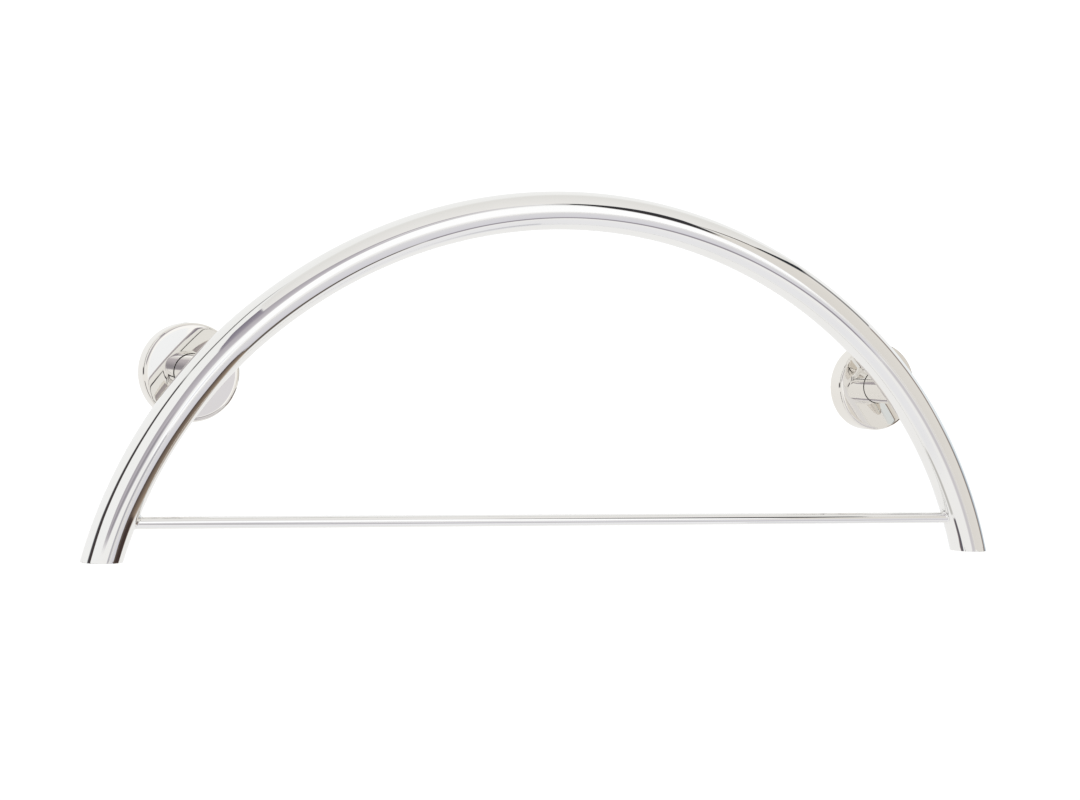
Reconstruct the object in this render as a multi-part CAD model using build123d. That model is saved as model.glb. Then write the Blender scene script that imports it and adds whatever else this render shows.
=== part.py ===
"""Crescent grab bar with a towel rail: a bent stainless tube on two wall flanges.

Frame, in millimetres: the wall is the plane y = 0 and the bar stands off it towards -Y. X runs
along the towel rail, +Z is up, and the origin is on the wall midway between the two flanges.
Each right-hand piece is modelled, and the left-hand one is its mirror image.
"""

import os
from math import cos, radians, sin, sqrt

from build123d import *

# Arch: one round tube bent to a wide crown arc, with a slightly tighter arc in each leg
TUBE_OD = 31.75
TUBE_WALL = 1.6
CROWN_RADIUS = 432.0
LEG_RADIUS = 373.0
CROWN_HALF_ANGLE = 40.5
WALL_GAP = 38.1
FOOT_DROP = 146.5
CAP_THICKNESS = 2.5

# Towel rail: a straight rod between the legs, with its centre this far above the feet
RAIL_OD = 9.525
RAIL_RISE = 30.0
RAIL_FILLET = 2.5

# Posts: from the flanges to the back of the legs, some way past the end of the crown's arc and
# a little slimmer than the arch all round, so that each saddle closes
POST_PAST_CROWN = 8.5
POST_INSET = 0.875
POST_WALL = 1.6
POST_FILLET = 4.0
POST_RECESS = 0.5
VENT_DIA = 6.0

# Wall flanges and their screw holes, each with a margin of plate between it and the ring groove
FLANGE_THICKNESS = 5.0
FLANGE_WELD_LEG = 3.5
SCREW_HOLE_DIA = 6.6
SCREW_MARGIN = 4.4
SCREW_COUNT = 3

# Flange covers, drawn from sheet, and the rubber rings that hold them
COVER_OD = 79.4
COVER_DEPTH = 17.0
COVER_SHEET = 1.0
COVER_EDGE = 2.5
RING_SECTION = 2.4

# Named clearances
COVER_TO_FLANGE = 0.9
COVER_TO_POST = 0.4
RING_TO_COVER = 0.1
RING_SIDE_GAP = 0.1

# Worked out from the sizes above
TUBE_RADIUS = TUBE_OD / 2
BORE_RADIUS = TUBE_RADIUS - TUBE_WALL
POST_RADIUS = TUBE_RADIUS - POST_INSET
POST_ANGLE = CROWN_HALF_ANGLE + POST_PAST_CROWN
RAIL_DROP = FOOT_DROP - RAIL_RISE
STANDOFF = WALL_GAP + TUBE_RADIUS
COVER_RADIUS = COVER_OD / 2
FLANGE_RADIUS = COVER_RADIUS - COVER_SHEET - COVER_TO_FLANGE
RING_RADIUS = COVER_RADIUS - COVER_SHEET - RING_TO_COVER - RING_SECTION / 2
SCREW_RADIUS = RING_RADIUS - (RING_SECTION + SCREW_HOLE_DIA) / 2 - SCREW_MARGIN
CENTRE_SHIFT = CROWN_RADIUS - LEG_RADIUS
LEG_CENTRE_X = CENTRE_SHIFT * sin(radians(CROWN_HALF_ANGLE))
LEG_CENTRE_RISE = CENTRE_SHIFT * cos(radians(CROWN_HALF_ANGLE))
POST_X = LEG_CENTRE_X + LEG_RADIUS * sin(radians(POST_ANGLE))
LEG_CENTRE_Z = -LEG_RADIUS * cos(radians(POST_ANGLE))
CROWN_CENTRE_Z = LEG_CENTRE_Z - LEG_CENTRE_RISE
SPAN = LEG_CENTRE_X + LEG_RADIUS + TUBE_OD


def bar_y(radius, near, far):
    """Solid bar along Y, from `near` to `far` millimetres out from the wall."""
    return Pos(0, -(near + far) / 2, 0) * Rot(90, 0, 0) * Cylinder(radius, far - near)


def arc_bar(radius, bend_radius, start, end):
    """Solid bar bent round the Y axis between two angles, which turn from +Z towards +X."""
    section = Pos(0, 0, bend_radius) * Rot(0, -90, 0) * Circle(radius)
    return Rot(0, start, 0) * revolve(section, Axis.Y, end - start)


def leg_bar(radius):
    """Solid bar round the right leg's arc, run on past the foot."""
    leg = arc_bar(radius, LEG_RADIUS, CROWN_HALF_ANGLE, 90)
    return Pos(LEG_CENTRE_X, -STANDOFF, LEG_CENTRE_Z) * leg


def half_arch(radius):
    """Right half of a solid bar along the arch, cut level at the foot."""
    crown = arc_bar(radius, CROWN_RADIUS, 0, CROWN_HALF_ANGLE)
    bar = Pos(0, -STANDOFF, CROWN_CENTRE_Z) * crown + leg_bar(radius)
    return bar & slab(-FOOT_DROP, SPAN)


def slab(low, high):
    """Block that covers the arch between two heights."""
    return Pos(0, -STANDOFF, (low + high) / 2) * Box(2 * SPAN, 2 * TUBE_OD, high - low)


def at_post(shape):
    """Move a shape made about the Y axis to the right-hand post."""
    return Pos(POST_X, 0, 0) * shape


def make_arch_tube():
    """Bent tube with a vent hole behind each post, so that welding gas can leave."""
    half = half_arch(TUBE_RADIUS) - half_arch(BORE_RADIUS)
    half -= at_post(bar_y(VENT_DIA / 2, 0, STANDOFF))
    return half + mirror(half, Plane.YZ)


def make_end_cap():
    """Closing disc that fills the bore of the foot, flush with the level cut."""
    return half_arch(BORE_RADIUS) & slab(-FOOT_DROP, -FOOT_DROP + CAP_THICKNESS)


def rail_bar():
    """Right half of the towel rail's rod, run through to the centreline of the leg."""
    reach = LEG_CENTRE_X + sqrt(LEG_RADIUS**2 - (LEG_CENTRE_Z + RAIL_DROP) ** 2)
    return Pos(reach / 2, -STANDOFF, -RAIL_DROP) * Rot(0, 90, 0) * Cylinder(RAIL_OD / 2, reach)


def make_towel_rail():
    """Rod with both ends coped to the legs."""
    half = rail_bar() - half_arch(TUBE_RADIUS)
    return half + mirror(half, Plane.YZ)


def weld_fillet(branch, radius):
    """Polished fillet all round the seam between a branch bar and the leg."""
    leg = leg_bar(TUBE_RADIUS)
    seam = (leg + branch).edges().filter_by(GeomType.BSPLINE)
    return fillet(seam, radius) - leg - branch


def make_rail_weld():
    """Fillet round one end of the towel rail."""
    return weld_fillet(rail_bar(), RAIL_FILLET)


def post_bar(radius):
    """Solid bar of a post, from just inside the flange's back to the arch's centreline."""
    return at_post(bar_y(radius, POST_RECESS, STANDOFF))


def make_post():
    """Post tube, saddle-cut where it meets the arch."""
    return post_bar(POST_RADIUS) - post_bar(POST_RADIUS - POST_WALL) - half_arch(TUBE_RADIUS)


def make_post_weld():
    """Fillet round the saddle joint of one post."""
    return weld_fillet(post_bar(POST_RADIUS), POST_FILLET)


def make_wall_flange():
    """Screw plate with a hole for the post, screw holes and a ring groove in its rim."""
    groove_half = RING_SECTION / 2 + RING_SIDE_GAP
    middle = FLANGE_THICKNESS / 2
    plate = bar_y(FLANGE_RADIUS, 0, FLANGE_THICKNESS) - bar_y(POST_RADIUS, 0, FLANGE_THICKNESS)
    groove = bar_y(COVER_RADIUS, middle - groove_half, middle + groove_half)
    plate -= groove - bar_y(RING_RADIUS - RING_SECTION / 2, 0, FLANGE_THICKNESS)
    for index in range(SCREW_COUNT):
        hole = Pos(0, 0, SCREW_RADIUS) * bar_y(SCREW_HOLE_DIA / 2, 0, FLANGE_THICKNESS)
        plate -= Rot(0, index * 360 / SCREW_COUNT, 0) * hole
    return at_post(plate)


def make_flange_weld():
    """Straight-sided fillet bead between the post and the front of its flange."""
    cone = Cone(POST_RADIUS + FLANGE_WELD_LEG, POST_RADIUS, FLANGE_WELD_LEG)
    bead = Pos(0, -FLANGE_THICKNESS - FLANGE_WELD_LEG / 2, 0) * Rot(90, 0, 0) * cone
    return at_post(bead) - post_bar(POST_RADIUS)


def rounded_disc(radius, depth, edge):
    """Disc on the wall with its front edge rounded."""
    disc = bar_y(radius, 0, depth)
    return fillet(disc.edges().sort_by(Axis.Y)[0], edge)


def make_flange_cover():
    """Drawn cup with a rounded front edge and a hole that clears the post."""
    shell = rounded_disc(COVER_RADIUS, COVER_DEPTH, COVER_EDGE)
    inside = COVER_RADIUS - COVER_SHEET
    shell -= rounded_disc(inside, COVER_DEPTH - COVER_SHEET, COVER_EDGE - COVER_SHEET)
    return at_post(shell - bar_y(POST_RADIUS + COVER_TO_POST, 0, COVER_DEPTH))


def make_cover_ring():
    """Rubber ring in the groove of the flange's rim."""
    ring = Torus(RING_RADIUS, RING_SECTION / 2)
    return at_post(Pos(0, -FLANGE_THICKNESS / 2, 0) * Rot(90, 0, 0) * ring)


PAIRED = {
    "end_cap": make_end_cap,
    "rail_weld": make_rail_weld,
    "post": make_post,
    "post_weld": make_post_weld,
    "wall_flange": make_wall_flange,
    "flange_weld": make_flange_weld,
    "flange_cover": make_flange_cover,
    "cover_ring": make_cover_ring,
}


def main():
    """Write one STEP file for each piece."""
    os.makedirs("parts", exist_ok=True)
    export_step(make_arch_tube(), "parts/arch_tube.step")
    export_step(make_towel_rail(), "parts/towel_rail.step")
    for piece, make in PAIRED.items():
        shape = make()
        export_step(shape, f"parts/right_{piece}.step")
        export_step(mirror(shape, Plane.YZ), f"parts/left_{piece}.step")


main()
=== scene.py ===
"""Crescent grab bar with a towel rail, in mirror-polished stainless steel, seen in a white studio.

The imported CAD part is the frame. The polished surfaces that show most are modelled again here as
finer meshes, and every other CAD node keeps its shape and gets its finish. Metres, +Z up, with
the wall at y = 0 and the bar standing off it towards -Y.
"""

import logging
import math
from collections.abc import Callable
from dataclasses import dataclass, field
from enum import Enum

import bpy
from mathutils import Euler, Matrix, Vector


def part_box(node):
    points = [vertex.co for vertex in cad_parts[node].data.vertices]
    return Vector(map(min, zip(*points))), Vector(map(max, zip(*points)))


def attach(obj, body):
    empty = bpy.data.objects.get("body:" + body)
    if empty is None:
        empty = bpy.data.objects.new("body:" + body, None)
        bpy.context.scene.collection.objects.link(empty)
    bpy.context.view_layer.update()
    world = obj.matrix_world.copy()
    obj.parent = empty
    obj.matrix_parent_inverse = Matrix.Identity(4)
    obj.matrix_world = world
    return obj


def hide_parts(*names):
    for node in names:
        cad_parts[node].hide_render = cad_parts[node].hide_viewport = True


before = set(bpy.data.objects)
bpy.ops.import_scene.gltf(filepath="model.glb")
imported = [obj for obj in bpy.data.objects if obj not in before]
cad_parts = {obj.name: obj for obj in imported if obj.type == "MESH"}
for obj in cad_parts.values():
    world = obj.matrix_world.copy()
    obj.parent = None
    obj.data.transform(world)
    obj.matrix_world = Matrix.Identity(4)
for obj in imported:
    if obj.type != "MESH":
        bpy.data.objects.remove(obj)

LOG = logging.getLogger("grab_rail")
MM = 0.001
MERGE = 1e-6
BISECT_MERGE = MERGE / 10
NEAR = 10 * MERGE
SMOOTH_UNDER = 30.0
BREAK_SEGMENTS = 2
QUARTER_TURN = math.radians(90)
PATTERN_LOW = 0.3
PATTERN_HIGH = 0.7

Colour = tuple[float, float, float]
Tone = tuple[int, int, int]
Station = tuple[float, float, float]


class Side(Enum):
    """Which half of the bar a paired piece is on, and the sign of its X."""

    LEFT = -1
    RIGHT = 1

    def node(self, piece: str) -> str:
        """Name of this side's CAD node for a piece."""
        return f"{self.name.lower()}_{piece}"


class Slot(Enum):
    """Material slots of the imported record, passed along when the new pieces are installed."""

    POLISHED = "polished_steel"
    SHEET = "sheet_steel"


class Body(Enum):
    """CAD bodies that pieces ride on."""

    FRAME = "rail_frame"
    LEFT_COVER = "left_cover"
    RIGHT_COVER = "right_cover"


class Element(Enum):
    """What is picked out of a mesh in edit mode."""

    EDGE = "EDGE"
    FACE = "FACE"


# ---------------------------------------------------------------- finishes


@dataclass(frozen=True)
class NodeKit:
    """Short calls for the nodes that the finishes and the lights use."""

    owner: bpy.types.Material | bpy.types.World

    @classmethod
    def fresh(cls, owner: bpy.types.Material | bpy.types.World) -> "NodeKit":
        """Empty the node tree of a new material or world.

        Args:
            owner: The material or world.
        """
        owner.use_nodes = True
        owner.node_tree.nodes.clear()
        return cls(owner)

    def add(self, kind: str, **settings: object) -> bpy.types.Node:
        """Add a node and set its properties and its sockets' values.

        Args:
            kind: Blender's node type name.
            settings: Properties by name, or sockets by name with spaces as underscores.

        Returns:
            The new node.
        """
        node = self.owner.node_tree.nodes.new(kind)
        for key, value in settings.items():
            if hasattr(node, key):
                setattr(node, key, value)
            else:
                node.inputs[key.replace("_", " ")].default_value = value
        return node

    def link(self, source: bpy.types.NodeSocket, target: bpy.types.NodeSocket) -> None:
        """Link two sockets."""
        self.owner.node_tree.links.new(source, target)

    def noise(self, stretch: tuple[float, float, float], detail: float) -> bpy.types.NodeSocket:
        """Noise on Object coordinates, with its own scale along each axis.

        Args:
            stretch: Scale of the pattern along X, Y and Z, per metre.
            detail: Octaves of detail.

        Returns:
            The noise's value socket.
        """
        place = self.add("ShaderNodeTexCoord")
        mapping = self.add("ShaderNodeMapping", Scale=stretch)
        pattern = self.add("ShaderNodeTexNoise", Scale=1.0, Detail=detail)
        self.link(place.outputs["Object"], mapping.inputs["Vector"])
        self.link(mapping.outputs["Vector"], pattern.inputs["Vector"])
        return pattern.outputs[0]

    def remap(self, value: bpy.types.NodeSocket, low: float, high: float) -> bpy.types.NodeSocket:
        """Stretch the middle of a pattern to a range.

        Args:
            value: Pattern from 0 to 1.
            low: Result where the pattern is PATTERN_LOW or less.
            high: Result where the pattern is PATTERN_HIGH or more.

        Returns:
            The remapped value socket.
        """
        node = self.add(
            "ShaderNodeMapRange",
            From_Min=PATTERN_LOW,
            From_Max=PATTERN_HIGH,
            To_Min=low,
            To_Max=high,
        )
        self.link(value, node.inputs["Value"])
        return node.outputs["Result"]


@dataclass(frozen=True)
class Finish:
    """A worked surface of steel or rubber.

    The colour and the roughness wander between their two values in soft patches, and a faint
    bump carries the grain that the polishing wheel, the rolling mill or the mould leaves.
    """

    name: str
    colour: Colour
    tint: Colour
    smoothest: float
    roughest: float
    patch: tuple[float, float, float]
    grain: tuple[float, float, float]
    bump: float
    bump_height: float
    patch_detail: float = 3.0
    grain_detail: float = 4.0
    metallic: float = 1.0

    def make(self) -> bpy.types.Material:
        """Build the material.

        Returns:
            The finished material.
        """
        kit = NodeKit.fresh(bpy.data.materials.new(self.name))
        output = kit.add("ShaderNodeOutputMaterial")
        shader = kit.add("ShaderNodeBsdfPrincipled", Metallic=self.metallic)
        kit.link(shader.outputs["BSDF"], output.inputs["Surface"])
        patches = kit.noise(self.patch, self.patch_detail)
        shade = kit.add("ShaderNodeMix", data_type="RGBA")
        shade.inputs["A"].default_value = (*self.colour, 1.0)
        shade.inputs["B"].default_value = (*self.tint, 1.0)
        kit.link(kit.remap(patches, 0.0, 1.0), shade.inputs["Factor"])
        kit.link(shade.outputs["Result"], shader.inputs["Base Color"])
        kit.link(kit.remap(patches, self.smoothest, self.roughest), shader.inputs["Roughness"])
        relief = kit.add("ShaderNodeBump", Strength=self.bump, Distance=self.bump_height)
        kit.link(kit.noise(self.grain, self.grain_detail), relief.inputs["Height"])
        kit.link(relief.outputs["Normal"], shader.inputs["Normal"])
        return kit.owner


MIRROR_TUBE = Finish(
    name="mirror_polished_tube",
    colour=(0.93, 0.925, 0.915),
    tint=(0.915, 0.908, 0.895),
    smoothest=0.018,
    roughest=0.045,
    patch=(14.0, 14.0, 14.0),
    grain=(900.0, 900.0, 900.0),
    bump=0.02,
    bump_height=0.00002,
)
MIRROR_SHEET = Finish(
    name="mirror_polished_sheet",
    colour=(0.885, 0.86, 0.818),
    tint=(0.87, 0.843, 0.8),
    smoothest=0.012,
    roughest=0.035,
    patch=(40.0, 40.0, 40.0),
    grain=(220.0, 220.0, 220.0),
    bump=0.03,
    bump_height=0.00002,
)
DRESSED_WELD = Finish(
    name="dressed_and_polished_weld",
    colour=(0.92, 0.912, 0.9),
    tint=(0.88, 0.868, 0.85),
    smoothest=0.03,
    roughest=0.08,
    patch=(180.0, 180.0, 180.0),
    grain=(500.0, 500.0, 500.0),
    bump=0.06,
    bump_height=0.00004,
)
RAW_WELD = Finish(
    name="raw_weld_bead",
    colour=(0.66, 0.63, 0.58),
    tint=(0.46, 0.41, 0.37),
    smoothest=0.22,
    roughest=0.42,
    patch=(320.0, 320.0, 320.0),
    grain=(1400.0, 1400.0, 1400.0),
    bump=0.35,
    bump_height=0.0001,
)
MILL_PLATE = Finish(
    name="mill_finish_plate",
    colour=(0.66, 0.655, 0.645),
    tint=(0.56, 0.555, 0.545),
    smoothest=0.26,
    roughest=0.4,
    patch=(60.0, 60.0, 60.0),
    grain=(60.0, 2500.0, 2500.0),
    bump=0.22,
    bump_height=0.00004,
)
RING_RUBBER = Finish(
    name="moulded_ring_rubber",
    colour=(0.018, 0.018, 0.019),
    tint=(0.05, 0.05, 0.052),
    smoothest=0.45,
    roughest=0.62,
    patch=(180.0, 180.0, 180.0),
    grain=(4000.0, 4000.0, 4000.0),
    bump=0.3,
    bump_height=0.00005,
    patch_detail=4.0,
    grain_detail=2.0,
    metallic=0.0,
)


# ---------------------------------------------------------------- mesh steps


@dataclass
class Workpiece:
    """One mesh object while it is being shaped in edit mode."""

    thing: bpy.types.Object

    @classmethod
    def hold(cls, name: str) -> "Workpiece":
        """Take the primitive that was just added, name it and go into edit mode.

        Args:
            name: The object's name.

        Returns:
            The workpiece, with everything selected.
        """
        thing = bpy.context.active_object
        thing.name = name
        thing.data.name = name
        bpy.ops.object.mode_set(mode="EDIT")
        bpy.ops.mesh.select_all(action="SELECT")
        return cls(thing)

    @staticmethod
    def clear() -> None:
        """Deselect every object, so that an operator acts on the new piece alone."""
        bpy.ops.object.select_all(action="DESELECT")

    @staticmethod
    def start_pick(kind: Element) -> None:
        """Deselect the mesh and leave edit mode, so that elements can be selected by place.

        Args:
            kind: What is about to be picked.
        """
        bpy.ops.mesh.select_all(action="DESELECT")
        bpy.ops.mesh.select_mode(type=kind.value)
        bpy.ops.object.mode_set(mode="OBJECT")

    def pick_faces(self, wanted: Callable[[Vector, Vector], bool]) -> int:
        """Select the faces that pass a test, and nothing else.

        Args:
            wanted: Test on a face's centre and normal.

        Returns:
            How many were selected.
        """
        self.start_pick(Element.FACE)
        chosen = 0
        for face in self.thing.data.polygons:
            face.select = wanted(face.center, face.normal)
            chosen += face.select
        bpy.ops.object.mode_set(mode="EDIT")
        return chosen

    def pick_edges(self, wanted: Callable[[Vector], bool]) -> None:
        """Select the edges whose two ends pass a test, and nothing else.

        Args:
            wanted: Test on an end's place.
        """
        self.start_pick(Element.EDGE)
        mesh = self.thing.data
        for edge in mesh.edges:
            edge.select = all(wanted(mesh.vertices[index].co) for index in edge.vertices)
        bpy.ops.object.mode_set(mode="EDIT")

    def tidy(self) -> None:
        """Merge doubles and turn every face outwards."""
        bpy.ops.mesh.select_all(action="SELECT")
        bpy.ops.mesh.remove_doubles(threshold=MERGE)
        bpy.ops.mesh.normals_make_consistent(inside=False)

    def modify(self, kind: str, **settings: object) -> None:
        """Add a modifier in object mode and apply it.

        Args:
            kind: Blender's modifier type.
            settings: The modifier's properties.
        """
        self.release()
        modifier = self.thing.modifiers.new(kind.title(), kind)
        for key, value in settings.items():
            setattr(modifier, key, value)
        bpy.ops.object.modifier_apply(modifier=modifier.name)

    def release(self) -> None:
        """Leave edit mode with this object alone selected and active."""
        if bpy.context.object and bpy.context.object.mode == "EDIT":
            bpy.ops.object.mode_set(mode="OBJECT")
        self.clear()
        self.thing.select_set(True)
        bpy.context.view_layer.objects.active = self.thing

    def resume(self) -> None:
        """Go back into edit mode on this object."""
        self.release()
        bpy.ops.object.mode_set(mode="EDIT")

    def finish(self, smooth_under: float = SMOOTH_UNDER) -> bpy.types.Object:
        """Place the object at the origin with its transform in its mesh, and shade it.

        The weighted normals keep broad flat faces truly flat beside their rounded edges, so
        that they reflect as a flat mirror does.

        Args:
            smooth_under: Edges that turn by less than this many degrees are shaded smooth.

        Returns:
            The finished object.
        """
        self.release()
        bpy.ops.object.transform_apply(location=True, rotation=True, scale=True)
        bpy.ops.object.shade_smooth_by_angle(angle=math.radians(smooth_under))
        self.modify("WEIGHTED_NORMAL", keep_sharp=True, weight=100)
        self.clear()
        return self.thing


def dress(thing: bpy.types.Object, material: bpy.types.Material) -> None:
    """Give an object one material all over.

    Args:
        thing: The object.
        material: Its finish.
    """
    thing.data.materials.clear()
    thing.data.materials.append(material)


def install(
    thing: bpy.types.Object,
    material: bpy.types.Material,
    slot: Slot,
    body: Body,
    node: str,
) -> None:
    """Dress a new piece, stand it in for its CAD node and set it riding on its body.

    Args:
        thing: The new piece.
        material: Its finish.
        slot: The record's slot that the finish belongs to. It is not used.
        body: The CAD body that it moves with.
        node: The CAD node that it replaces.
    """
    dress(thing, material)
    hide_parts(node)
    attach(thing, body.value)
    LOG.info("%s: %d faces, for %s", thing.name, len(thing.data.polygons), node)


# ---------------------------------------------------------------- the bar


@dataclass
class Arch:
    """The bent tube: a crown arc with a tighter arc in each leg, cut level at the feet."""

    crown_radius: float = 432.0 * MM
    leg_radius: float = 373.0 * MM
    crown_half_angle: float = 40.5
    wall: float = 1.6 * MM
    rim_break: float = 0.25 * MM
    tube_margin: float = 4.0
    cutter_margin: float = 2.0
    sides: int = 112
    step_angle: float = 0.75
    tube_radius: float = field(init=False)
    standoff: float = field(init=False)
    foot: float = field(init=False)
    crown_centre: Vector = field(init=False)
    leg_centre: Vector = field(init=False)

    def __post_init__(self) -> None:
        """Read the tube's size and place from its CAD node."""
        low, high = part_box("arch_tube")
        self.tube_radius = (high.y - low.y) / 2
        self.standoff = -(high.y + low.y) / 2
        self.foot = low.z
        crown_height = high.z - self.tube_radius
        self.crown_centre = Vector((0, -self.standoff, crown_height - self.crown_radius))
        shift = self.crown_radius - self.leg_radius
        bend = math.radians(self.crown_half_angle)
        turn = Vector((math.sin(bend), 0, math.cos(bend)))
        self.leg_centre = self.crown_centre + shift * turn

    def centre(self, turn: float) -> Vector:
        """Point on the tube's centreline.

        Args:
            turn: Degrees round the arch from the +X end, 90 at the top.

        Returns:
            The point.
        """
        outward = self.outward(turn)
        if abs(90 - turn) <= self.crown_half_angle:
            return self.crown_centre + self.crown_radius * outward
        centre = self.leg_centre.copy()
        centre.x = math.copysign(centre.x, outward.x)
        return centre + self.leg_radius * outward

    @staticmethod
    def outward(turn: float) -> Vector:
        """Direction away from the bend's centre at a place round the arch."""
        return Vector((math.cos(math.radians(turn)), 0, math.sin(math.radians(turn))))

    def spin(self, angle: float, centre: Vector) -> None:
        """Carry the selected rings on round the arch, in the XZ plane.

        The spin operator turns clockwise as seen against its axis, so -Y takes +Z to +X.

        Args:
            angle: Degrees to turn, from +Z towards +X.
            centre: Centre of the bend.
        """
        steps = round(angle / self.step_angle)
        bpy.ops.mesh.spin(steps=steps, angle=math.radians(angle), center=centre, axis=(0, -1, 0))

    def bent_bar(self, name: str, radii: list[float], margin: float) -> Workpiece:
        """Right half of one or more round skins, swept from the arch's top to past its foot.

        Args:
            name: The object's name.
            radii: Radius of each skin.
            margin: Degrees that it runs on past the foot.

        Returns:
            The workpiece, in edit mode.
        """
        top = self.crown_centre + Vector((0, 0, self.crown_radius))
        turned = (0, QUARTER_TURN, 0)
        Workpiece.clear()
        bpy.ops.mesh.primitive_circle_add(
            vertices=self.sides, radius=radii[0], location=top, rotation=turned
        )
        bpy.ops.object.transform_apply(location=True, rotation=True, scale=True)
        bar = Workpiece.hold(name)
        for radius in radii[1:]:
            bpy.ops.mesh.primitive_circle_add(
                vertices=self.sides, radius=radius, location=top, rotation=turned
            )
        bpy.ops.mesh.select_all(action="SELECT")
        self.spin(self.crown_half_angle, self.crown_centre)
        foot_angle = math.degrees(math.acos((self.foot - self.leg_centre.z) / self.leg_radius))
        reach = foot_angle + margin - self.crown_half_angle
        self.spin(self.step_angle * round(reach / self.step_angle), self.leg_centre)
        return bar

    def make_tube(self) -> bpy.types.Object:
        """Both walls of the tube, cut level at the feet, with closed rims and broken edges.

        Returns:
            The finished tube.
        """
        radii = [self.tube_radius, self.tube_radius - self.wall]
        tube = self.bent_bar("arch_tube_polished", radii, self.tube_margin)
        bpy.ops.mesh.select_all(action="SELECT")
        bpy.ops.mesh.bisect(
            plane_co=(0, 0, self.foot),
            plane_no=(0, 0, 1),
            clear_inner=True,
            threshold=BISECT_MERGE,
        )
        mid_wall = self.tube_radius - self.wall / 2
        tube.pick_faces(lambda centre, normal: self.off_centre(centre) < mid_wall)
        bpy.ops.mesh.flip_normals()
        tube.pick_edges(self.at_foot)
        bpy.ops.mesh.bridge_edge_loops()
        self.mirror(tube)
        tube.tidy()
        tube.pick_edges(lambda end: self.at_foot(end) and self.off_centre(end) > mid_wall)
        bpy.ops.mesh.bevel(offset=self.rim_break, segments=BREAK_SEGMENTS, affect="EDGES")
        return tube.finish()

    def at_foot(self, point: Vector) -> bool:
        """Whether a point is in the level cut at the feet."""
        return abs(point.z - self.foot) < MERGE

    @staticmethod
    def mirror(bar: Workpiece) -> None:
        """Make the left half from the right half, and go back into edit mode."""
        bar.modify(
            "MIRROR",
            use_axis=(True, False, False),
            use_mirror_merge=True,
            merge_threshold=MERGE,
        )
        bar.resume()

    def off_centre(self, point: Vector) -> float:
        """Distance of a point from the tube's centreline.

        Args:
            point: The point.

        Returns:
            Its distance.
        """
        right = Vector((abs(point.x), point.y, point.z))
        from_top = math.degrees(math.atan2(right.x, right.z - self.crown_centre.z))
        on_crown = from_top <= self.crown_half_angle
        centre = self.crown_centre if on_crown else self.leg_centre
        bend = self.crown_radius if on_crown else self.leg_radius
        from_bend = math.hypot(right.x - centre.x, right.z - centre.z) - bend
        return math.hypot(from_bend, point.y + self.standoff)

    def make_cutter(self) -> bpy.types.Object:
        """Solid bar of the tube's outer size, that copes what meets it. It is removed at the end.

        Returns:
            The cutter.
        """
        bar = self.bent_bar("cope_cutter", [self.tube_radius], self.cutter_margin)
        self.mirror(bar)
        bpy.ops.mesh.select_all(action="SELECT")
        bpy.ops.mesh.fill_holes(sides=0)
        bar.tidy()
        bar.release()
        bar.clear()
        return bar.thing


@dataclass
class TowelRail:
    """The straight rod between the legs, coped to them at both ends."""

    arch: Arch
    sides: int = 64

    def make(self, cutter: bpy.types.Object) -> bpy.types.Object:
        """Model the rod.

        Args:
            cutter: Solid bar that stands for the arch.

        Returns:
            The finished rod.
        """
        low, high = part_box("towel_rail")
        middle = (low + high) / 2
        radius = (high.z - low.z) / 2
        half = high.x + self.arch.tube_radius / 2
        Workpiece.clear()
        bpy.ops.mesh.primitive_circle_add(
            vertices=self.sides,
            radius=radius,
            fill_type="NGON",
            location=(-half, middle.y, middle.z),
            rotation=(0, QUARTER_TURN, 0),
        )
        bpy.ops.object.transform_apply(location=True, rotation=True, scale=True)
        rod = Workpiece.hold("towel_rail_polished")
        bpy.ops.mesh.extrude_region_move(TRANSFORM_OT_translate={"value": (2 * half, 0, 0)})
        rod.tidy()
        rod.modify("BOOLEAN", object=cutter, operation="DIFFERENCE", solver="EXACT")
        rod.resume()
        rod.tidy()
        return rod.finish()


@dataclass
class WallPost:
    """One post tube, from its flange to the saddle on the back of the arch."""

    arch: Arch
    side: Side
    wall: float = 1.6 * MM
    sides: int = 96

    def make(self, cutter: bpy.types.Object) -> bpy.types.Object:
        """Model the post.

        Args:
            cutter: Solid bar that stands for the arch.

        Returns:
            The finished post.
        """
        low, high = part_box(self.side.node("post"))
        middle = (low + high) / 2
        radius = (high.x - low.x) / 2
        Workpiece.clear()
        turned = (QUARTER_TURN, 0, 0)
        back = (middle.x, high.y, middle.z)
        bpy.ops.mesh.primitive_circle_add(
            vertices=self.sides, radius=radius, location=back, rotation=turned
        )
        bpy.ops.object.transform_apply(location=True, rotation=True, scale=True)
        post = Workpiece.hold(self.side.node("post_polished"))
        bpy.ops.mesh.primitive_circle_add(
            vertices=self.sides, radius=radius - self.wall, location=back, rotation=turned
        )
        bpy.ops.mesh.select_all(action="SELECT")
        bpy.ops.mesh.bridge_edge_loops()
        run = self.arch.standoff + high.y
        bpy.ops.mesh.extrude_region_move(TRANSFORM_OT_translate={"value": (0, -run, 0)})
        post.tidy()
        post.modify("BOOLEAN", object=cutter, operation="DIFFERENCE", solver="EXACT")
        post.resume()
        post.tidy()
        return post.finish()


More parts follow.
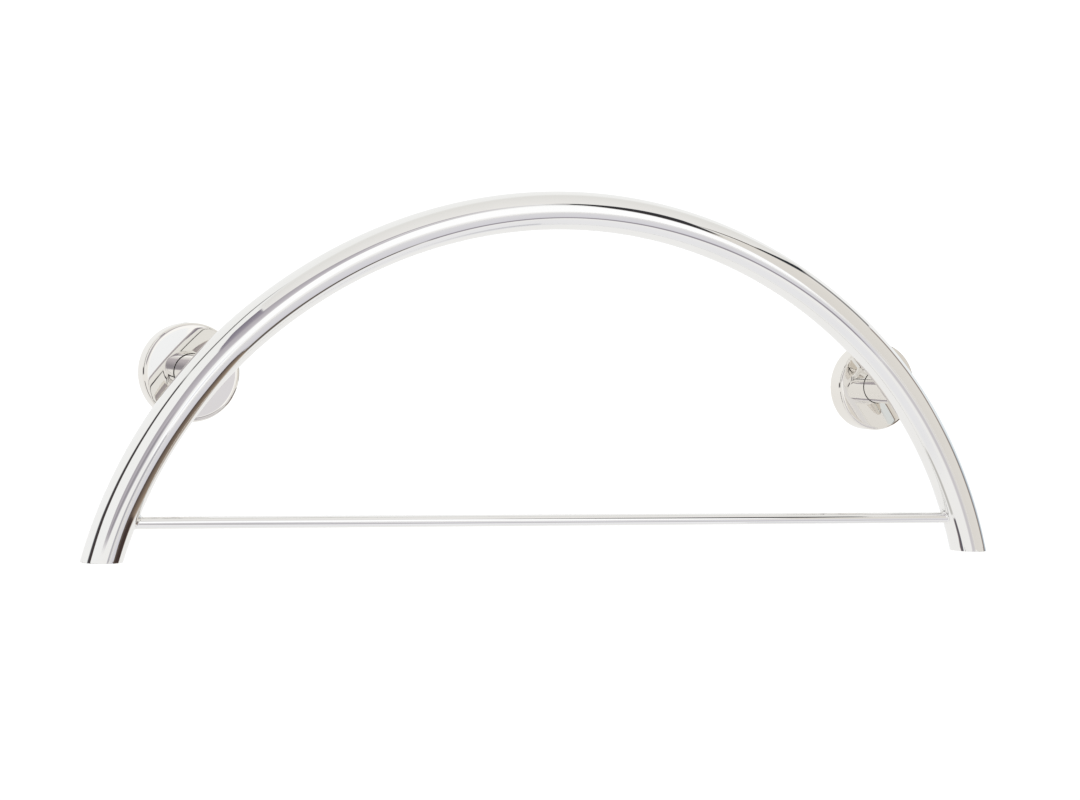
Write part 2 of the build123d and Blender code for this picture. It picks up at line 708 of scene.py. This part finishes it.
@dataclass
class FlangeCover:
    """One drawn cover: a shallow cup with a rounded front edge and a hole round the post."""

    side: Side
    sheet: float = 1.0 * MM
    shoulder: float = 5.0 * MM
    shoulder_profile: float = 0.71
    hole_clearance: float = 0.4 * MM
    lip_break: float = 0.2 * MM
    lip_reach: float = 0.05 * MM
    sides: int = 160
    shoulder_segments: int = 14
    smooth_under: float = 32.0

    def make(self) -> bpy.types.Object:
        """Model the cover.

        Returns:
            The finished cover.
        """
        low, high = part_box(self.side.node("flange_cover"))
        post_low, post_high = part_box(self.side.node("post"))
        middle = (low + high) / 2
        radius = (high.x - low.x) / 2
        hole = (post_high.x - post_low.x) / 2 + self.hole_clearance
        Workpiece.clear()
        bpy.ops.mesh.primitive_circle_add(
            vertices=self.sides,
            radius=radius,
            location=(middle.x, high.y, middle.z),
            rotation=(QUARTER_TURN, 0, 0),
        )
        bpy.ops.object.transform_apply(location=True, rotation=True, scale=True)
        cover = Workpiece.hold(self.side.node("flange_cover_polished"))
        bpy.ops.mesh.extrude_region_move(TRANSFORM_OT_translate={"value": (0, low.y - high.y, 0)})
        bpy.ops.mesh.edge_face_add()
        front = low.y + MERGE
        cover.pick_faces(lambda centre, normal: centre.y < front)
        bpy.ops.mesh.inset(thickness=radius - hole, depth=0)
        bpy.ops.mesh.delete(type="FACE")
        rim = radius - NEAR
        cover.pick_edges(lambda end: end.y < front and self.reach(end, middle) > rim)
        bpy.ops.mesh.bevel(
            offset=self.shoulder,
            segments=self.shoulder_segments,
            affect="EDGES",
            profile=self.shoulder_profile,
        )
        cover.tidy()
        # A cup that is right side out has no face towards the wall.
        inside_out = cover.pick_faces(lambda centre, normal: normal.y > 0.5)
        if inside_out:
            bpy.ops.mesh.select_all(action="SELECT")
            bpy.ops.mesh.flip_normals()
        cover.modify("SOLIDIFY", thickness=self.sheet, offset=-1.0, use_even_offset=True)
        cover.resume()

        def on_lip(end: Vector) -> bool:
            """Whether a point is on the sheet's cut edge, round the hole or at the wall."""
            at_hole = self.reach(end, middle) < hole + self.lip_reach
            return at_hole or end.y > high.y - self.lip_reach

        cover.pick_edges(on_lip)
        bpy.ops.mesh.bevel(offset=self.lip_break, segments=BREAK_SEGMENTS, affect="EDGES")
        return cover.finish(self.smooth_under)

    @staticmethod
    def reach(point: Vector, middle: Vector) -> float:
        """Distance of a point from the cover's axis."""
        return math.hypot(point.x - middle.x, point.z - middle.z)


# ---------------------------------------------------------------- the studio


@dataclass(frozen=True)
class Lens:
    """The camera's place, aim and lens."""

    place: tuple[float, float, float] = (-0.8187, -1.8121, 0.0360)
    yaw: float = -24.093
    pitch: float = -1.553
    roll: float = -1.633
    focal_mm: float = 77.158
    sensor_mm: float = 36.0

    def make(self) -> None:
        """Add the camera and make it the scene's."""
        data = bpy.data.cameras.new("studio_camera")
        data.sensor_width = self.sensor_mm
        data.lens = self.focal_mm
        camera = bpy.data.objects.new("studio_camera", data)
        bpy.context.scene.collection.objects.link(camera)
        aim = (
            Matrix.Rotation(math.radians(self.yaw), 4, "Z")
            @ Matrix.Rotation(math.radians(self.pitch), 4, "X")
            @ Matrix.Rotation(math.radians(self.roll), 4, "Y")
            @ Matrix.Rotation(QUARTER_TURN, 4, "X")
        )
        camera.matrix_world = Matrix.Translation(self.place) @ aim
        bpy.context.scene.camera = camera


def tone(red: int, green: int, blue: int) -> Colour:
    """Light of a card that is read as this display colour, 0 to 255, once the steel has tinted it.

    The numbers are those of the standard display curve.

    Args:
        red: Display red.
        green: Display green.
        blue: Display blue.

    Returns:
        Linear colour.
    """
    light = []
    for value, tint in zip((red, green, blue), MIRROR_TUBE.colour):
        share = value / 255
        linear = share / 12.92 if share <= 0.04045 else ((share + 0.055) / 1.055) ** 2.4
        light.append(linear / tint)
    return tuple(light)


@dataclass(frozen=True)
class Glow:
    """Look of one lit sheet of the tent, which goes from its near tone to its far tone.

    Each soft width is the share of the sheet over which that edge fades out.
    """

    name: str
    near_tone: Tone
    far_tone: Tone | None = None
    soft_near: float = 0.3
    soft_far: float = 0.3
    soft_start: float = 0.02
    soft_end: float = 0.02


@dataclass(frozen=True)
class Card:
    """One card or flag, described by where its reflection lies on the bar.

    Each station is (turn, near, far): at that many degrees round the arch, the reflection covers
    the tube's skin from `near` to `far` degrees, where 0 faces away from the bend's centre, 90
    faces -Y and 180 faces the centre. The card stands where the mirror law puts it.
    """

    glow: Glow
    stations: tuple[Station, ...]
    distance: float

    def edges(self, turn: float) -> tuple[float, float]:
        """Near and far edge of the card's reflection at a place round the arch.

        Args:
            turn: Degrees round the arch.

        Returns:
            The two edges, in degrees round the tube.
        """
        for before, after in zip(self.stations, self.stations[1:]):
            if turn <= after[0]:
                break
        share = (turn - before[0]) / (after[0] - before[0])
        return tuple(before[i] + share * (after[i] - before[i]) for i in (1, 2))


@dataclass(frozen=True)
class HorizonStrip:
    """A strip or patch that stands upright round part of the tent, near the bar's own height.

    Headings are degrees round from -Y, towards +X where they are positive, and `rise` is the
    height of its middle.
    """

    glow: Glow
    start: float
    end: float
    height: float
    distance: float
    rise: float = 0.0


@dataclass
class Tent:
    """The cards, flags and strips of light that the polished steel shows."""

    arch: Arch
    lens: Lens
    row_angle: float = 1.5
    columns: int = 9

    def seen_at(self, turn: float, lean: float, distance: float) -> Vector:
        """Place whose reflection the camera sees at one spot on the tube.

        Args:
            turn: Degrees round the arch.
            lean: Degrees round the tube.
            distance: How far the place is from the spot.

        Returns:
            The place.
        """
        lean = math.radians(lean)
        normal = math.cos(lean) * self.arch.outward(turn) + math.sin(lean) * Vector((0, -1, 0))
        spot = self.arch.centre(turn) + self.arch.tube_radius * normal
        sight = (spot - Vector(self.lens.place)).normalized()
        return spot + distance * sight.reflect(normal)

    def make_card(self, card: Card) -> None:
        """Stand one card as a grid that is laid where the mirror law puts it.

        Args:
            card: What to make.
        """
        first, last = card.stations[0][0], card.stations[-1][0]

        def place(along: float, across: float) -> Vector:
            """Find where a point of the card goes.

            Args:
                along: Fraction of the card's length.
                across: Fraction of its width.

            Returns:
                The place.
            """
            turn = first + along * (last - first)
            near, far = card.edges(turn)
            return self.seen_at(turn, near + across * (far - near), card.distance)

        self.lay(card.glow, last - first, place)

    def make_strip(self, strip: HorizonStrip) -> None:
        """Stand one strip round its part of the horizon.

        Args:
            strip: What to make.
        """

        def place(along: float, across: float) -> Vector:
            """Find where a point of the strip goes.

            Args:
                along: Fraction of the strip's length.
                across: Fraction of its height.

            Returns:
                The place.
            """
            heading = math.radians(strip.start + along * (strip.end - strip.start))
            height = strip.rise + (across - 0.5) * strip.height
            level = Vector((math.sin(heading), -math.cos(heading), 0))
            return strip.distance * level + Vector((0, 0, height))

        self.lay(strip.glow, abs(strip.end - strip.start), place)

    def lay(self, glow: Glow, angle: float, place: Callable[[float, float], Vector]) -> None:
        """Make a sheet's grid, put each of its points in place and light it.

        Only reflections see it.

        Args:
            glow: The sheet's look.
            angle: How many degrees the sheet is long, which sets how many rows it has.
            place: Where a point goes, from its fractions along and across the sheet.
        """
        rows = max(2, round(angle / self.row_angle))
        Workpiece.clear()
        bpy.ops.mesh.primitive_grid_add(x_subdivisions=rows, y_subdivisions=self.columns, size=1.0)
        thing = bpy.context.active_object
        thing.name = glow.name
        # The grid is one unit wide, from -0.5 to 0.5.
        for vertex in thing.data.vertices:
            vertex.co = place(vertex.co.x + 0.5, vertex.co.y + 0.5)
        dress(thing, self.light(glow))
        thing.visible_camera = False
        thing.visible_diffuse = False
        thing.visible_shadow = False
        thing.visible_transmission = False

    @staticmethod
    def light(glow: Glow) -> bpy.types.Material:
        """Plain light from near tone to far tone, which fades out softly at the sheet's edges.

        Args:
            glow: The sheet's look.

        Returns:
            The material.
        """
        kit = NodeKit.fresh(bpy.data.materials.new(glow.name))
        place = kit.add("ShaderNodeTexCoord")
        axes = kit.add("ShaderNodeSeparateXYZ")
        kit.link(place.outputs["UV"], axes.inputs["Vector"])
        fades = (
            ("X", 0.0, glow.soft_start),
            ("X", 1.0, 1.0 - glow.soft_end),
            ("Y", 0.0, glow.soft_near),
            ("Y", 1.0, 1.0 - glow.soft_far),
        )
        cover = None
        for axis, edge, full in fades:
            fade = kit.add(
                "ShaderNodeMapRange",
                interpolation_type="SMOOTHSTEP",
                From_Min=edge,
                From_Max=full,
            )
            kit.link(axes.outputs[axis], fade.inputs["Value"])
            if cover is None:
                cover = fade.outputs["Result"]
            else:
                both = kit.add("ShaderNodeMath", operation="MULTIPLY")
                kit.link(cover, both.inputs[0])
                kit.link(fade.outputs["Result"], both.inputs[1])
                cover = both.outputs[0]
        shade = kit.add("ShaderNodeMix", data_type="RGBA")
        shade.inputs["A"].default_value = (*tone(*glow.near_tone), 1.0)
        shade.inputs["B"].default_value = (*tone(*(glow.far_tone or glow.near_tone)), 1.0)
        kit.link(axes.outputs["Y"], shade.inputs["Factor"])
        lamp = kit.add("ShaderNodeEmission")
        kit.link(shade.outputs["Result"], lamp.inputs["Color"])
        clear = kit.add("ShaderNodeBsdfTransparent")
        mix = kit.add("ShaderNodeMixShader")
        kit.link(cover, mix.inputs["Fac"])
        kit.link(clear.outputs[0], mix.inputs[1])
        kit.link(lamp.outputs[0], mix.inputs[2])
        output = kit.add("ShaderNodeOutputMaterial")
        kit.link(mix.outputs[0], output.inputs["Surface"])
        return kit.owner

    def make(self) -> None:
        """Stand every card and strip."""
        for card in CARDS:
            self.make_card(card)
            LOG.info("card: %s", card.glow.name)
        for strip in STRIPS:
            self.make_strip(strip)
            LOG.info("strip: %s", strip.glow.name)


CARDS = (
    Card(
        Glow(
            "cool_side_card",
            (228, 232, 234),
            (224, 231, 234),
            soft_near=0.12,
            soft_far=0.12,
            soft_end=0.3,
        ),
        ((4, 20, 58), (22, 20, 59), (40, 20, 54), (50, 20, 54)),
        distance=7.9,
    ),
    Card(
        Glow("ceiling_card", (221, 220, 216), (232, 230, 227), soft_near=0.25, soft_far=0.02),
        (
            (60, 40, 58), (66, 40, 66), (75, 38, 78), (85, 36, 75), (95, 34, 72), (115, 34, 70),
            (125, 36, 68), (130, 44, 66),
        ),
        distance=7.8,
    ),
    Card(
        Glow("beige_wall_card", (221, 217, 210), (217, 213, 207), soft_near=0.01, soft_far=0.08),
        (
            (2, 61, 103), (50, 61, 103), (56, 60, 98), (63, 60, 92), (68, 68, 89), (72, 75, 87),
            (76, 80, 85),
        ),
        distance=7.7,
    ),
    Card(
        Glow(
            "low_tent_card",
            (231, 230, 231),
            (228, 228, 230),
            soft_near=0.2,
            soft_start=0.1,
            soft_end=0.1,
        ),
        ((24, 118, 146), (60, 117, 146), (100, 118, 143), (128, 122, 143)),
        distance=7.65,
    ),
    Card(
        Glow("lilac_card", (219, 218, 219), (208, 206, 213), soft_near=0.15, soft_far=0.1),
        (
            (46, 100, 112), (60, 99, 112), (75, 98, 115), (95, 98, 115), (110, 94, 118),
            (134, 96, 116), (150, 97, 112), (165, 95, 108), (176, 95, 108),
        ),
        distance=7.6,
    ),
    Card(
        Glow("white_front_card", (255, 255, 255), soft_near=0.05, soft_far=0.2),
        (
            (54, 97, 99), (63, 91, 100), (70, 87, 100), (78, 84, 99), (88, 80, 99), (95, 77, 98),
            (104, 76, 95), (120, 76, 93), (130, 80, 94), (140, 84, 96), (148, 87, 98),
            (152, 88, 92),
        ),
        distance=7.5,
    ),
    Card(
        Glow(
            "lilac_block_card",
            (164, 159, 165),
            (197, 192, 197),
            soft_near=0.1,
            soft_far=0.2,
            soft_start=0.2,
            soft_end=0.04,
        ),
        (
            (94, 72, 75), (110, 69, 76), (120, 66.3, 77), (128, 63.3, 79.5), (133, 62.5, 81),
            (136, 62.5, 80), (145, 66, 84), (152, 66, 84), (158, 65, 80), (164, 67, 75),
        ),
        distance=7.4,
    ),
    Card(
        Glow("lilac_low_line", (150, 146, 152), soft_start=0.3, soft_end=0.15),
        ((143, 76, 81), (150, 74.5, 81), (155, 72.5, 80), (159, 71, 77), (163, 69, 75)),
        distance=7.35,
    ),
    Card(
        Glow(
            "step_flag",
            (122, 116, 128),
            (158, 152, 162),
            soft_near=0.06,
            soft_far=0.4,
            soft_start=0.03,
            soft_end=0.1,
        ),
        ((129.2, 53.5, 71), (133.6, 53.5, 70), (136.6, 62, 67)),
        distance=7.3,
    ),
    Card(
        Glow(
            "side_shade_card",
            (224, 231, 236),
            (128, 140, 152),
            soft_near=0.6,
            soft_far=0.05,
            soft_end=0.3,
        ),
        ((2, 36, 60), (17, 38, 60), (22, 43, 60), (30, 49, 60), (40, 51, 58)),
        distance=7.25,
    ),
    Card(
        Glow("right_seam_line", (126, 120, 120), (142, 124, 112), soft_near=0.4, soft_far=0.4),
        (
            (2, 52, 63), (18, 53.5, 65), (25, 56.5, 66), (34, 56.5, 65.5), (40, 52, 63),
            (48, 52, 62.5), (51.5, 53, 63),
        ),
        distance=7.2,
    ),
    Card(
        Glow("right_seam_wide", (130, 140, 142), (132, 114, 106), soft_near=0.35, soft_far=0.35),
        ((51, 48.5, 61), (55, 48.5, 60.5), (60, 48, 60), (63.5, 48.5, 61)),
        distance=7.1,
    ),
    Card(
        Glow(
            "right_knot_flag",
            (38, 42, 48),
            soft_near=0.25,
            soft_far=0.25,
            soft_start=0.15,
            soft_end=0.1,
        ),
        ((61, 49.5, 58.5), (63, 46, 63), (64.5, 53.5, 66), (66.5, 60.5, 69), (69, 66, 71.5)),
        distance=7.0,
    ),
    Card(
        Glow("knot_link_line", (92, 84, 78), soft_end=0.5),
        ((68, 66.5, 70.5), (71, 69, 73), (74, 72, 75.5), (78, 75, 78)),
        distance=6.9,
    ),
    Card(
        Glow(
            "crown_flag",
            (46, 50, 56),
            (54, 46, 44),
            soft_near=0.12,
            soft_far=0.2,
            soft_start=0.1,
            soft_end=0.15,
        ),
        (
            (72.5, 81, 83.5), (75, 78, 84.5), (78, 72.5, 84.5), (82, 71, 83), (87, 71.5, 80.5),
            (91, 72, 76.5), (96, 72, 75),
        ),
        distance=6.8,
    ),
    Card(
        Glow("crown_haze_line", (212, 210, 211), soft_end=0.3),
        ((92, 73, 75.5), (105, 71.5, 74.5), (120, 69.5, 74)),
        distance=6.7,
    ),
    Card(
        Glow("low_seam_right", (202, 200, 202), (198, 193, 196), soft_far=0.4, soft_end=0.1),
        (
            (2, 97, 109), (22, 98.5, 112), (32, 100.5, 114), (44, 101, 114), (47, 103, 114),
            (50, 104, 114),
        ),
        distance=6.6,
    ),
    Card(
        Glow("low_seam_middle", (146, 140, 148), soft_near=0.35, soft_far=0.35, soft_start=0.1),
        (
            (46, 107.5, 112.5), (56, 106, 112.5), (64, 108, 113.5), (75, 111, 117.5),
            (85, 112, 117.5), (92, 112, 116.5), (102, 112.5, 118), (110, 113.5, 119.5),
        ),
        distance=6.5,
    ),
    Card(
        Glow("low_seam_left", (88, 78, 70), soft_far=0.4, soft_start=0.3),
        (
            (106, 113.5, 118.5), (115, 115, 120), (124, 114.5, 123), (129, 113.5, 124),
            (134.5, 114, 124),
        ),
        distance=6.4,
    ),
    Card(
        Glow("left_brown_flag", (66, 56, 54), (170, 150, 130), soft_near=0.06, soft_far=0.35),
        (
            (133.4, 113.5, 123), (135, 109.5, 127), (136.5, 109, 130), (140, 112, 136.5),
            (145, 112, 143.5), (150, 110.5, 143), (155, 108, 139.5), (158, 106, 134),
            (160, 105, 130), (164, 108, 130), (176, 110, 133),
        ),
        distance=6.3,
    ),
    Card(
        Glow("left_foot_flag", (62, 54, 54), (66, 50, 44), soft_far=0.06),
        ((158.3, 109, 126), (160, 108, 125.5), (164, 110, 128.5), (176, 112, 131)),
        distance=6.2,
    ),
    Card(
        Glow("left_shoulder_line", (100, 98, 96), soft_start=0.4, soft_end=0.1),
        ((124, 37, 40.5), (130, 36.5, 40.5), (135, 38.5, 43.5), (141, 38, 43.5)),
        distance=6.1,
    ),
    Card(
        Glow("left_shoulder_flag", (70, 74, 80), (60, 44, 38), soft_far=0.12, soft_start=0.1),
        (
            (139, 38, 43.5), (145, 37.5, 44), (150, 36, 44), (155, 33, 43), (160, 31, 43),
            (164, 33, 46), (176, 36, 50),
        ),
        distance=6.0,
    ),
    Card(
        Glow("right_foot_flag", (84, 92, 104), (112, 92, 90), soft_near=0.15),
        ((2, 135, 150), (16, 135.5, 149), (18, 136, 146), (21, 138, 146)),
        distance=5.9,
    ),
    Card(
        Glow("left_inner_line", (170, 168, 174), soft_near=0.35, soft_far=0.35),
        ((147.5, 92, 98), (152, 90.5, 97.5), (158, 88.5, 95), (164, 89.5, 95.5), (176, 90, 96)),
        distance=5.8,
    ),
    Card(
        Glow("low_crown_spot", (198, 198, 203), soft_end=0.7),
        ((95.5, 131, 138.5), (102, 131, 138.5), (112, 131, 138)),
        distance=5.7,
    ),
    Card(
        Glow("low_leg_line", (186, 184, 180), soft_near=0.4, soft_end=0.2),
        ((21.3, 139, 150), (27, 141, 151), (33, 145, 151)),
        distance=5.6,
    ),
)
STRIPS = (
    HorizonStrip(
        Glow("rear_left_strip", (84, 88, 94), (110, 104, 100), soft_start=0.2, soft_end=0.15),
        start=-62.0,
        end=-142.0,
        height=1.9,
        distance=8.2,
    ),
    HorizonStrip(
        Glow("rear_right_strip", (120, 122, 126), (134, 128, 124), soft_start=0.2, soft_end=0.2),
        start=178.0,
        end=138.0,
        height=1.5,
        distance=8.3,
    ),
    HorizonStrip(
        Glow(
            "left_cover_patch",
            (222, 221, 226),
            soft_near=0.25,
            soft_far=0.25,
            soft_start=0.2,
            soft_end=0.2,
        ),
        start=11.9,
        end=14.8,
        height=0.4,
        distance=5.5,
        rise=-0.21,
    ),
    HorizonStrip(
        Glow(
            "left_cover_white_patch",
            (246, 249, 253),
            soft_near=0.2,
            soft_far=0.2,
            soft_start=0.2,
            soft_end=0.05,
        ),
        start=9.2,
        end=12.1,
        height=0.45,
        distance=5.4,
        rise=-0.05,
    ),
)


@dataclass(frozen=True)
class Dome:
    """White backdrop for the camera, with a softly graded tent for reflections.

    Each grade is how far up it lies, from 0 straight down to 1 straight up, and its tone.
    """

    backdrop_strength: float = 1.15
    grades: tuple[tuple[float, Tone], ...] = (
        (0.0, (236, 235, 233)),
        (0.3, (236, 235, 233)),
        (0.46, (238, 237, 235)),
        (0.6, (240, 240, 239)),
        (0.85, (239, 239, 237)),
        (1.0, (237, 237, 235)),
    )

    def make(self) -> None:
        """Set up the world."""
        kit = NodeKit.fresh(bpy.data.worlds.new("white_tent"))
        bpy.context.scene.world = kit.owner
        place = kit.add("ShaderNodeTexCoord")
        axes = kit.add("ShaderNodeSeparateXYZ")
        kit.link(place.outputs["Generated"], axes.inputs["Vector"])
        height = kit.add("ShaderNodeMapRange", From_Min=-1.0)
        kit.link(axes.outputs["Z"], height.inputs["Value"])
        ramp = kit.add("ShaderNodeValToRGB")
        stops = ramp.color_ramp.elements
        while len(stops) < len(self.grades):
            stops.new(0.5)
        for stop, (place_up, shade) in zip(stops, self.grades):
            stop.position = place_up
            stop.color = (*tone(*shade), 1.0)
        kit.link(height.outputs["Result"], ramp.inputs["Fac"])
        rays = kit.add("ShaderNodeLightPath")
        tent = kit.add("ShaderNodeBackground")
        kit.link(ramp.outputs["Color"], tent.inputs["Color"])
        backdrop = kit.add("ShaderNodeBackground", Strength=self.backdrop_strength)
        backdrop.inputs["Color"].default_value = (1.0, 1.0, 1.0, 1.0)
        mix = kit.add("ShaderNodeMixShader")
        output = kit.add("ShaderNodeOutputWorld")
        kit.link(rays.outputs["Is Glossy Ray"], mix.inputs["Fac"])
        kit.link(backdrop.outputs[0], mix.inputs[1])
        kit.link(tent.outputs[0], mix.inputs[2])
        kit.link(mix.outputs[0], output.inputs["Surface"])


@dataclass(frozen=True)
class Floor:
    """The plain pale floor, well below the bar."""

    drop: float = 3.0
    half_width: float = 40.0
    shade: Colour = (0.93, 0.93, 0.93)
    roughness: float = 0.9

    def make(self) -> None:
        """Add the floor, which reflections don't see."""
        Workpiece.clear()
        bpy.ops.mesh.primitive_plane_add(size=2 * self.half_width, location=(0, 0, -self.drop))
        floor = bpy.context.active_object
        floor.name = "pale_floor"
        kit = NodeKit.fresh(bpy.data.materials.new("pale_floor_paint"))
        output = kit.add("ShaderNodeOutputMaterial")
        shader = kit.add("ShaderNodeBsdfPrincipled", Roughness=self.roughness)
        shader.inputs["Base Color"].default_value = (*self.shade, 1.0)
        kit.link(shader.outputs["BSDF"], output.inputs["Surface"])
        dress(floor, kit.owner)
        floor.visible_glossy = False


@dataclass(frozen=True)
class Softbox:
    """Large soft light above and in front, for the plates, welds and rubber behind the covers."""

    width: float = 2.4
    depth: float = 1.6
    energy: float = 12.0
    place: tuple[float, float, float] = (-0.6, -1.4, 2.2)
    tilt: float = 32.0
    swing: float = -20.0

    def make(self) -> None:
        """Add the light, which reflections don't see."""
        data = bpy.data.lights.new("overhead_softbox", "AREA")
        data.shape = "RECTANGLE"
        data.size, data.size_y = self.width, self.depth
        data.energy = self.energy
        light = bpy.data.objects.new("overhead_softbox", data)
        light.location = self.place
        light.rotation_euler = Euler((math.radians(self.tilt), 0, math.radians(self.swing)))
        light.visible_glossy = False
        bpy.context.scene.collection.objects.link(light)


@dataclass(frozen=True)
class CarriedNode:
    """CAD nodes whose shape stays as it is, with the finish that they get."""

    pieces: tuple[str, ...]
    finish: Finish

    def dress(self) -> None:
        """Give every node of both sides its finish."""
        material = self.finish.make()
        for piece in self.pieces:
            for side in Side:
                dress(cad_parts[side.node(piece)], material)
                LOG.info("%s keeps its CAD shape", side.node(piece))


CARRIED = (
    CarriedNode(("rail_weld", "post_weld"), DRESSED_WELD),
    CarriedNode(("flange_weld",), RAW_WELD),
    CarriedNode(("wall_flange",), MILL_PLATE),
    CarriedNode(("cover_ring",), RING_RUBBER),
)


def main() -> None:
    """Build the studio, the polished pieces and the finishes, in that order."""
    logging.basicConfig(level=logging.INFO, format="%(message)s")
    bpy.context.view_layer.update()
    bpy.context.scene.view_settings.view_transform = "Standard"
    lens = Lens()
    lens.make()
    arch = Arch()
    Dome().make()
    Tent(arch, lens).make()
    Floor().make()
    Softbox().make()

    tube_steel = MIRROR_TUBE.make()
    sheet_steel = MIRROR_SHEET.make()
    install(arch.make_tube(), tube_steel, Slot.POLISHED, Body.FRAME, "arch_tube")
    cutter = arch.make_cutter()
    rail = TowelRail(arch).make(cutter)
    install(rail, tube_steel, Slot.POLISHED, Body.FRAME, "towel_rail")
    cover_bodies = {Side.LEFT: Body.LEFT_COVER, Side.RIGHT: Body.RIGHT_COVER}
    for side, cover_body in cover_bodies.items():
        post = WallPost(arch, side).make(cutter)
        install(post, tube_steel, Slot.POLISHED, Body.FRAME, side.node("post"))
        cover = FlangeCover(side).make()
        install(cover, sheet_steel, Slot.SHEET, cover_body, side.node("flange_cover"))
        dress(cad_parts[side.node("end_cap")], tube_steel)
    bpy.data.objects.remove(cutter)
    for carried in CARRIED:
        carried.dress()


if __name__ == "__main__":
    main()
